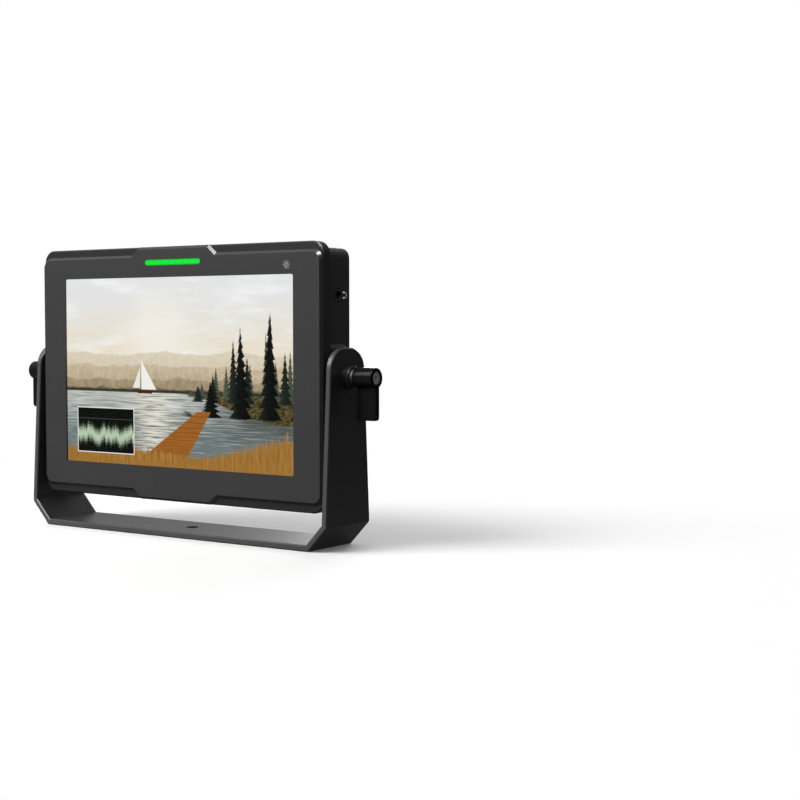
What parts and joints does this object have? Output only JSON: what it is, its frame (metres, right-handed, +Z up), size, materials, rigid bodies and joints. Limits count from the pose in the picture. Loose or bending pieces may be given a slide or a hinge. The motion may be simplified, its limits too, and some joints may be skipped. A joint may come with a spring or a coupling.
{
  "type": "camera field monitor",
  "caption": "Flat field monitor tilting in a bent U bracket with lever clamps; raised bezel, tally bar, top buttons, finned rear heat sink with fan, and rear video, data and power sockets.",
  "frame": {"origin": "centre of the bracket's base hole, on the underside of the base", "axes": "+X to the right seen from the screen side, along the tilt axis; +Y to the rear; +Z up"},
  "size_m": [0.2284, 0.0418, 0.1433],
  "materials": {
    "coated_metal": "fine matte black coating",
    "anodised": "black anodised, matte",
    "screen_glass": "anti-reflective",
    "panel": "display layers",
    "tally_lens": "lit diffuser",
    "steel": "plated",
    "nickel": "bright nickel",
    "gold": "gold plated",
    "black_plastic": "moulded",
    "gloss_black": "moulded",
    "red_plastic": "moulded",
    "blue_plastic": "moulded",
    "circuit_board": "solder mask",
    "pad": "soft thermal pad",
    "washer": "matte"
  },
  "bodies": {
    "bracket": {"u_bracket": "coated_metal", "friction_washers": "washer"},
    "monitor": {"front_bezel": "coated_metal", "cover_glass": "screen_glass", "lcd_panel": "panel", "backlight_unit": "panel", "panel_plate": "steel", "panel_screws": "steel", "tally_light_bar": "tally_lens", "tally_led_board": "circuit_board", "rear_housing": "coated_metal", "pivot_inserts": "steel", "case_screws": "steel", "heat_sink": "anodised", "label_plate": "black_plastic", "fan_frame": "black_plastic", "main_board": "circuit_board", "board_standoffs": "steel", "board_screws": "steel", "processor": "black_plastic", "thermal_pad": "pad", "bnc_shell_1": "nickel", "bnc_shell_2": "nickel", "bnc_shell_3": "nickel", "bnc_shell_4": "nickel", "bnc_insulators": "black_plastic", "bnc_contacts": "gold", "bnc_washers": "nickel", "bnc_nuts": "nickel", "hdmi_shells": "steel", "hdmi_tongues": "black_plastic", "usb_shell": "steel", "usb_tongue": "blue_plastic", "tally_jack": "black_plastic", "headphone_jack": "black_plastic", "dc_jack": "black_plastic", "dc_nut": "steel", "dc_pin": "steel", "switch_frame": "gloss_black", "button_board": "circuit_board", "tact_switches": "black_plastic", "speaker": "black_plastic"},
    "collar_right": {"clamp_collar_right": "black_plastic"},
    "clamp_right": {"clamp_stud_right": "steel", "clamp_lever_right": "anodised", "clamp_cap_screw_right": "steel"},
    "collar_left": {"clamp_collar_left": "black_plastic"},
    "clamp_left": {"clamp_stud_left": "steel", "clamp_lever_left": "anodised", "clamp_cap_screw_left": "steel"},
    "fan_wheel": {"fan_rotor": "black_plastic"},
    "rocker": {"power_rocker": "gloss_black"},
    "menu_button": {"menu_button": "black_plastic"},
    "left_button": {"left_button": "black_plastic"},
    "right_button": {"right_button": "black_plastic"},
    "exit_button": {"exit_button": "black_plastic"},
    "function_button": {"function_button": "black_plastic"},
    "input_button": {"input_button": "black_plastic"},
    "power_button": {"power_button": "red_plastic"}
  },
  "joints": [
    {"name": "tilt", "type": "hinge", "parent": "bracket", "child": "monitor", "pos_m": [0, 0, 0.0802], "axis": [1, 0, 0], "range_deg": [-180, 180]},
    {"name": "clamp_travel_right", "type": "slide", "parent": "monitor", "child": "collar_right", "axis": [1, 0, 0], "range_m": [0, 0.001]},
    {"name": "clamp_turn_right", "type": "hinge", "parent": "collar_right", "child": "clamp_right", "pos_m": [0.1, 0, 0.0802], "axis": [1, 0, 0], "range_deg": [0, 365]},
    {"name": "clamp_travel_left", "type": "slide", "parent": "monitor", "child": "collar_left", "axis": [-1, 0, 0], "range_m": [0, 0.001]},
    {"name": "clamp_turn_left", "type": "hinge", "parent": "collar_left", "child": "clamp_left", "pos_m": [-0.1, 0, 0.0802], "axis": [-1, 0, 0], "range_deg": [0, 365]},
    {"name": "fan_spin", "type": "hinge", "parent": "monitor", "child": "fan_wheel", "pos_m": [0, 0.006, 0.0492], "axis": [0, 1, 0], "continuous": true},
    {"name": "rocker_tip", "type": "hinge", "parent": "monitor", "child": "rocker", "pos_m": [-0.073, 0.0106, 0.0544], "axis": [-1, 0, 0], "range_deg": [0, 20]},
    {"name": "menu_button_press", "type": "slide", "parent": "monitor", "child": "menu_button", "axis": [0, 0, -1], "range_m": [0, 0.0006], "stiffness_N_per_m": 600, "springref_m": -0.0005},
    {"name": "left_button_press", "type": "slide", "parent": "monitor", "child": "left_button", "axis": [0, 0, -1], "range_m": [0, 0.0006], "stiffness_N_per_m": 600, "springref_m": -0.0005},
    {"name": "right_button_press", "type": "slide", "parent": "monitor", "child": "right_button", "axis": [0, 0, -1], "range_m": [0, 0.0006], "stiffness_N_per_m": 600, "springref_m": -0.0005},
    {"name": "exit_button_press", "type": "slide", "parent": "monitor", "child": "exit_button", "axis": [0, 0, -1], "range_m": [0, 0.0006], "stiffness_N_per_m": 600, "springref_m": -0.0005},
    {"name": "function_button_press", "type": "slide", "parent": "monitor", "child": "function_button", "axis": [0, 0, -1], "range_m": [0, 0.0006], "stiffness_N_per_m": 600, "springref_m": -0.0005},
    {"name": "input_button_press", "type": "slide", "parent": "monitor", "child": "input_button", "axis": [0, 0, -1], "range_m": [0, 0.0006], "stiffness_N_per_m": 600, "springref_m": -0.0005},
    {"name": "power_button_press", "type": "slide", "parent": "monitor", "child": "power_button", "axis": [0, 0, -1], "range_m": [0, 0.0006], "stiffness_N_per_m": 600, "springref_m": -0.0005}
  ],
  "couplings": [
    {"joint": "clamp_turn_right", "follows": "clamp_travel_right", "rad_per_m": 6283.2},
    {"joint": "clamp_turn_left", "follows": "clamp_travel_left", "rad_per_m": 6283.2}
  ]
}
